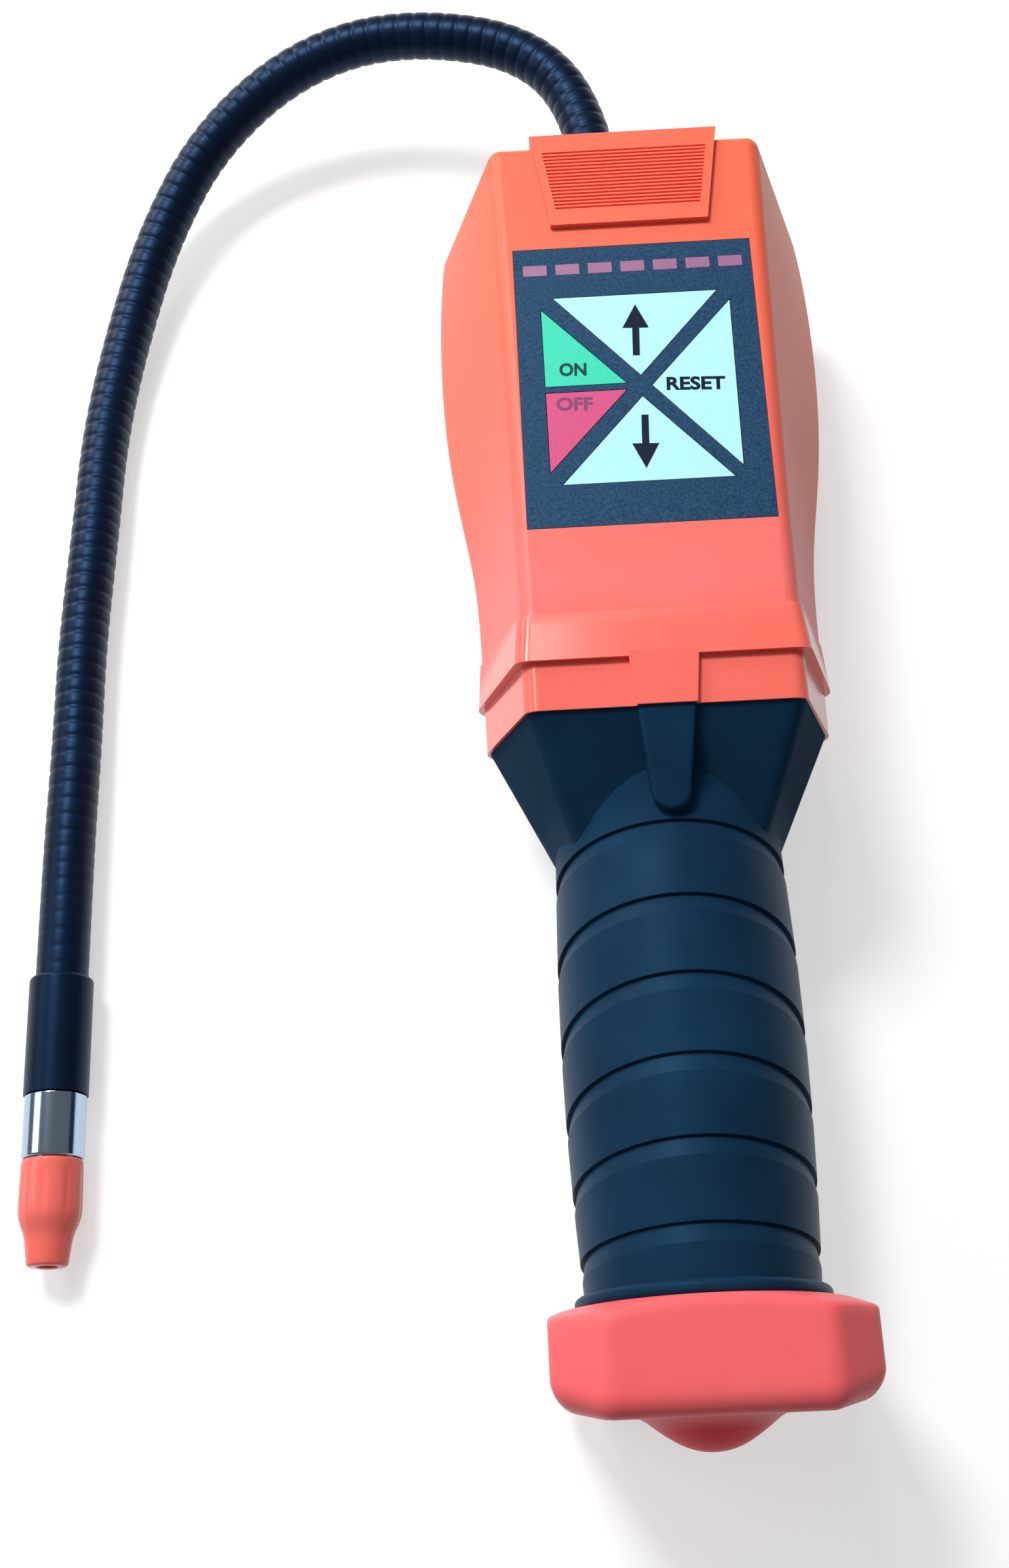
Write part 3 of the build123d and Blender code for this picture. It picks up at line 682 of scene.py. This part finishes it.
neck_mesh.materials.append(sleeve_black)
gooseneck = bpy.data.objects.new("gooseneck_sleeve", neck_mesh)
bpy.context.scene.collection.objects.link(gooseneck)
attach(gooseneck, "body")
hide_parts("gooseneck")
print("gooseneck faces", len(neck_mesh.polygons))

# %% [markdown]
# ## The sensor's hood
# The orange hood is one soft moulding. Its barrel swells a little towards the shoulder, the
# shoulder runs into the nozzle without an edge, and eight shallow flutes for the fingers fade
# out at both ends. The construction has the same sizes with plain cylinders and cones, so the
# hood is turned again here. Spin would give a plain turned shape, and the flutes have to fade,
# so the rings are laid one by one, out along the outside and back through the bore. The profile
# is a list of places along the probe with the radius there, in millimetres.

# %% Hood profile
hood_x = -110.0
hood_z = 5.7
hood_outside = [
    (-61.1, 5.1),
    (-61.4, 5.35),
    (-64.0, 5.42),
    (-67.0, 5.48),
    (-69.6, 5.48),
    (-70.9, 5.32),
    (-72.0, 4.98),
    (-73.0, 4.58),
    (-74.0, 4.25),
    (-75.2, 4.02),
    (-76.8, 3.82),
    (-78.4, 3.6),
    (-78.9, 3.42),
    (-79.1, 3.1),
]
hood_inside = [(-79.1, 1.9), (-78.9, 1.8), (-70.6, 1.8), (-70.4, 4.8), (-61.1, 4.8)]


def rounded_profile(points, steps):
    """Points on a smooth curve through these points: a cubic between each two neighbours."""
    found = []
    for i in range(len(points) - 1):
        before = points[max(0, i - 1)]
        start = points[i]
        end = points[i + 1]
        after = points[min(len(points) - 1, i + 2)]
        for k in range(steps):
            t = k / steps
            found.append(
                tuple(
                    0.5
                    * (
                        2 * b
                        + (c - a) * t
                        + (2 * a - 5 * b + 4 * c - d) * t**2
                        + (3 * b - a - 3 * c + d) * t**3
                    )
                    for a, b, c, d in zip(before, start, end, after)
                )
            )
    found.append(points[-1])
    return found


# %% [markdown]
# Each ring is a circle at its place in the profile. Where the barrel has flutes, the circle
# dips eight times, and the dips fade towards the collar and past the shoulder. The last ring
# is joined to the first, which closes the wall.

# %% Lay the hood's rings
hood_sides = 96
flute_count = 8
deepest_flute = 0.15


def flute_depth(along_y, turn):
    """How deep a flute is here, in millimetres."""
    fade = max(0.0, min(1.0, (along_y + 72.6) / 3.0, (-62.2 - along_y) / 1.5))
    return deepest_flute * fade * max(0.0, math.cos(flute_count * turn)) ** 2


hood_shape = bmesh.new()
hood_rings = []
for along_y, radius in rounded_profile(hood_outside, 4) + hood_inside:
    inside = (along_y, radius) in hood_inside
    ring = []
    for k in range(hood_sides):
        turn = 2 * math.pi * k / hood_sides
        out = radius if inside else radius - flute_depth(along_y, turn)
        x = hood_x + out * math.sin(turn)
        z = hood_z + out * math.cos(turn)
        ring.append(hood_shape.verts.new((x * MM, along_y * MM, z * MM)))
    hood_rings.append(ring)
for this_ring, next_ring in zip(hood_rings, hood_rings[1:] + hood_rings[:1]):
    for k in range(hood_sides):
        after = (k + 1) % hood_sides
        hood_shape.faces.new((this_ring[k], next_ring[k], next_ring[after], this_ring[after]))
bmesh.ops.recalc_face_normals(hood_shape, faces=hood_shape.faces)

# %% [markdown]
# The rings become a mesh object, with the orange of the shells, that moves with the tip and
# stands for the construction's own hood.

# %% Hood object
hood_mesh = bpy.data.meshes.new("turned_hood")
hood_shape.to_mesh(hood_mesh)
hood_shape.free()
hood_mesh.materials.append(abs_orange)
turned_hood = bpy.data.objects.new("turned_hood", hood_mesh)
bpy.context.scene.collection.objects.link(turned_hood)
bpy.ops.object.select_all(action="DESELECT")
turned_hood.select_set(True)
bpy.context.view_layer.objects.active = turned_hood
bpy.ops.object.shade_smooth_by_angle(angle=math.radians(50))
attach(turned_hood, "sensor_tip")
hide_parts("sensor_hood")
print("hood faces", len(hood_mesh.polygons))

# %% [markdown]
# The gooseneck keeps the shape it is given: 332 mm of it from the gland to the end sleeve,
# with the sleeve, the collar and the whole sensor tip on its end.

# %% [markdown]
# ## Threads
# The cap screws on the battery tube and the tip's stem screws into the collar. The construction
# has plain cylinders there. A thread shows once the cap or the tip is off, so each gets a ridge:
# a small profile beside the axis, swept up by the Screw modifier, with its two ends filled.
# The ridge sits in the mating part's wall when it is closed, as a thread sits in its groove.

# %% Thread ridges
root_depth = 0.25
steps_per_turn = 48


def thread_ridge(name, radius, height, width, pitch, turns, start, body, finish):
    """A helical ridge round an axis along Y, from its start on the axis, in millimetres."""
    bpy.ops.object.select_all(action="DESELECT")
    bpy.ops.mesh.primitive_plane_add(size=1.0)
    ridge = bpy.context.object
    ridge.name = name
    bpy.ops.object.mode_set(mode="EDIT")
    bpy.ops.mesh.delete(type="ONLY_FACE")
    profile = bmesh.from_edit_mesh(ridge.data)
    for corner in profile.verts:
        outside = corner.co.x > 0
        half = 0.25 * width if outside else 0.5 * width
        corner.co.y = math.copysign(half, corner.co.y) * MM
        corner.co.x = (radius + height if outside else radius - root_depth) * MM
    bmesh.update_edit_mesh(ridge.data)
    bpy.ops.object.mode_set(mode="OBJECT")
    sweep = ridge.modifiers.new("sweep", "SCREW")
    sweep.axis = "Y"
    sweep.angle = 2 * math.pi
    sweep.screw_offset = pitch * MM
    sweep.iterations = turns
    sweep.steps = steps_per_turn
    sweep.render_steps = steps_per_turn
    bpy.ops.object.modifier_apply(modifier=sweep.name)
    ridge.location = Vector(start) * MM
    bpy.ops.object.transform_apply(location=True, rotation=True, scale=True)
    bpy.ops.object.mode_set(mode="EDIT")
    bpy.ops.mesh.select_all(action="SELECT")
    bpy.ops.mesh.fill_holes(sides=4)
    bpy.ops.mesh.select_all(action="SELECT")
    bpy.ops.mesh.normals_make_consistent(inside=False)
    bpy.ops.object.mode_set(mode="OBJECT")
    bpy.ops.object.shade_smooth_by_angle(angle=math.radians(30))
    ridge.data.materials.append(finish)
    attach(ridge, body)
    return ridge


thread_ridge(
    "tube_thread",
    radius=15.5,
    height=0.7,
    width=1.7,
    pitch=3.0,
    turns=3,
    start=(0.0, -105.0, 24.8),
    body="body",
    finish=tube_black,
)
thread_ridge(
    "stem_thread",
    radius=3.9,
    height=0.3,
    width=0.6,
    pitch=0.8,
    turns=8,
    start=(-110.0, -60.2, 5.7),
    body="sensor_tip",
    finish=nickel,
)
print("two threads")

# %% [markdown]
# ## Printing on the keys
# The keys carry plain words and two arrows in dark ink. Real printing has no height, but a
# flat sheet lying exactly on a face would flicker against it, so each mark is a sheet three
# hundredths of a millimetre thick. They are drawn flat at the origin, then laid on the keypad,
# whose face rises 2.4 degrees towards the head.

# %% Helpers for the marks
keypad_tilt = math.radians(2.4)
keypad_middle = Vector((0.0, 60.7, 52.9)) * MM
print_height = 0.03 * MM
print_turn = -2.5


def only(thing):
    """Make this the one selected object."""
    bpy.ops.object.select_all(action="DESELECT")
    thing.select_set(True)
    bpy.context.view_layer.objects.active = thing


def lay_on_keypad(mark, x, y, turn):
    """Turn a flat mark, put it on the keypad and fix its place in its mesh."""
    only(mark)
    rotate = Matrix.Rotation(keypad_tilt, 4, "X") @ Matrix.Rotation(math.radians(turn), 4, "Z")
    up = Matrix.Rotation(keypad_tilt, 4, "X") @ Vector((x * MM, y * MM, 0.0))
    mark.matrix_world = Matrix.Translation(keypad_middle + up) @ rotate @ mark.matrix_world
    bpy.ops.object.transform_apply(location=True, rotation=True, scale=True)


def key_word(word, x, y, height, width, body, ink):
    """A word on a key, centred at x, y, with its letters' height and overall width."""
    bpy.ops.object.select_all(action="DESELECT")
    bpy.ops.object.text_add(location=(0, 0, 0))
    mark = bpy.context.object
    mark.name = "word_" + word.lower()
    mark.data.body = word
    mark.data.align_x = "CENTER"
    mark.data.align_y = "CENTER"
    mark.data.size = 1.0
    mark.data.offset = 0.035
    mark.data.extrude = 0.5
    mark.data.resolution_u = 4
    bpy.context.view_layer.update()
    flat = mark.dimensions
    mark.scale = (width * MM / flat.x, height * MM / flat.y, print_height / flat.z)
    bpy.ops.object.convert(target="MESH")
    mark = bpy.context.object
    bpy.ops.object.transform_apply(location=True, rotation=True, scale=True)
    corners = [Vector(corner) for corner in mark.bound_box]
    middle = sum(corners, Vector()) / 8
    mark.location = (-middle.x, -middle.y, 0)
    lay_on_keypad(mark, x, y, print_turn)
    mark.data.materials.clear()
    mark.data.materials.append(ink)
    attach(mark, body)
    return mark


# %% [markdown]
# The words are Text objects, a little heavier than the font draws them. Each is scaled to the
# height and width that it has on its key, and made a mesh before its place is fixed.

# %% Words
key_word("ON", -11.9, 4.0, 2.7, 4.8, "on_key", key_ink_green)
key_word("OFF", -12.0, -3.0, 2.7, 6.4, "off_key", key_ink_faint)
key_word("RESET", 9.5, -0.1, 2.75, 10.3, "reset_key", key_ink)
print("words on three keys")

# %% [markdown]
# An arrow starts as one square for the shaft. Its top edge is extruded in place, widened to
# the head's width, extruded again to the tip's height and merged to a point. Extruding the
# whole outline then gives it its thickness.

# %% Arrows
def key_arrow(name, x, y, points_up, body):
    """An arrow on a key, with the middle of its length at x, y."""
    shaft_width = 1.25 * MM
    head_width = 4.7 * MM
    head_length = 4.9 * MM
    whole = 10.6 * MM
    bpy.ops.object.select_all(action="DESELECT")
    bpy.ops.mesh.primitive_plane_add(size=1.0)
    mark = bpy.context.object
    mark.name = name
    mark.scale = (shaft_width, whole - head_length, 1.0)
    mark.location = (0, -head_length / 2, 0)
    bpy.ops.object.transform_apply(location=True, rotation=True, scale=True)
    bpy.ops.object.mode_set(mode="EDIT")
    bpy.ops.mesh.select_mode(type="VERT")
    bpy.ops.mesh.select_all(action="DESELECT")
    shape = bmesh.from_edit_mesh(mark.data)
    base = whole / 2 - head_length
    for vertex in shape.verts:
        vertex.select = vertex.co.y > base - 0.01 * MM
    shape.select_flush(True)
    bmesh.update_edit_mesh(mark.data)
    bpy.ops.mesh.extrude_region_move()
    bpy.ops.transform.resize(value=(head_width / shaft_width, 1.0, 1.0))
    bpy.ops.mesh.extrude_region_move(TRANSFORM_OT_translate={"value": (0, head_length, 0)})
    bpy.ops.mesh.merge(type="CENTER")
    bpy.ops.mesh.select_all(action="SELECT")
    bpy.ops.mesh.extrude_region_move(TRANSFORM_OT_translate={"value": (0, 0, print_height)})
    bpy.ops.mesh.select_all(action="SELECT")
    bpy.ops.mesh.normals_make_consistent(inside=False)
    bpy.ops.object.mode_set(mode="OBJECT")
    lay_on_keypad(mark, x, y, print_turn if points_up else print_turn + 180.0)
    mark.data.materials.append(key_ink)
    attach(mark, body)
    return mark


key_arrow("arrow_up", -0.3, 11.5, True, "up_key")
key_arrow("arrow_down", -0.1, -11.2, False, "down_key")
print("arrows on two keys")

# %% [markdown]
# ## Table
# The instrument lies on a plain white table. The table's own white is for the eye and for
# reflections: it adds light where the camera, a gloss or a clear piece shows it, so that the
# ground is white without more light on the object, and the soft shadow stays. It lies a little
# lower than the object's back, so that the two faces don't flicker where they meet.

# %% Table
table_size = 40.0
table_drop = 0.2 * MM
table_glow = 0.56
bpy.ops.object.select_all(action="DESELECT")
bpy.ops.mesh.primitive_plane_add(size=table_size, location=(0, 0, -table_drop))
table = bpy.context.object
table.name = "table"
table_white = bpy.data.materials.new("table_white_card")
table_white.use_nodes = True
table_tree = table_white.node_tree
table_shader = table_tree.nodes["Principled BSDF"]
table_shader.inputs["Base Color"].default_value = linear("#CCCCCC")
table_shader.inputs["Roughness"].default_value = 0.9
ray = add_node(table_tree, "ShaderNodeLightPath")
seen = add_node(
    table_tree,
    "ShaderNodeMath",
    {0: ray.outputs["Is Camera Ray"], 1: ray.outputs["Is Glossy Ray"]},
    operation="MAXIMUM",
)
seen_or_through = add_node(
    table_tree,
    "ShaderNodeMath",
    {0: seen.outputs["Value"], 1: ray.outputs["Is Transmission Ray"]},
    operation="MAXIMUM",
)
glow = add_node(
    table_tree,
    "ShaderNodeMath",
    {0: seen_or_through.outputs["Value"], 1: table_glow},
    operation="MULTIPLY",
)
table_tree.links.new(glow.outputs["Value"], table_shader.inputs["Emission Strength"])
table_shader.inputs["Emission Color"].default_value = (1.0, 1.0, 1.0, 1.0)
table.data.materials.append(table_white)
print("table", table_size, "m wide")

# %% [markdown]
# ## Light
# The main lamp stands high behind the head and a little to the left. A wide weak one lower
# behind it draws the sheen on the grip's rings, and one from the left gives the collar its
# bright band. A small lamp straight behind the head only shows as the glint on the polished
# band's corner. The rest of the room is a faint even white.

# %% Lamps
def soft_lamp(name, place, aim, size, power):
    """A square softbox that faces a point."""
    lamp_data = bpy.data.lights.new(name, "AREA")
    lamp_data.size = size
    lamp_data.energy = power
    lamp = bpy.data.objects.new(name, lamp_data)
    lamp.location = place
    lamp.rotation_euler = (Vector(aim) - Vector(place)).to_track_quat("-Z", "Y").to_euler()
    bpy.context.scene.collection.objects.link(lamp)
    return lamp


soft_lamp("key_lamp", place=(-0.34, 0.5, 0.86), aim=(0, 0, 0), size=0.26, power=7.9)
soft_lamp("back_lamp", place=(-0.62, 0.7, 0.38), aim=(0, 0, 0), size=0.3, power=2.8)
soft_lamp("left_lamp", place=(-0.8, 0.2, 0.52), aim=(-0.1, 0, 0), size=0.36, power=1.2)
soft_lamp("glint_lamp", place=(-0.055, 0.55, 0.83), aim=(0, 0, 0), size=0.12, power=0.8)

world = bpy.data.worlds.new("studio")
world.use_nodes = True
world_light = world.node_tree.nodes["Background"]
world_light.inputs["Color"].default_value = linear("#F2F6FF")
world_light.inputs["Strength"].default_value = 0.2
bpy.context.scene.world = world
bpy.context.scene.view_settings.view_transform = "Standard"
print("four lamps and a faint white room")
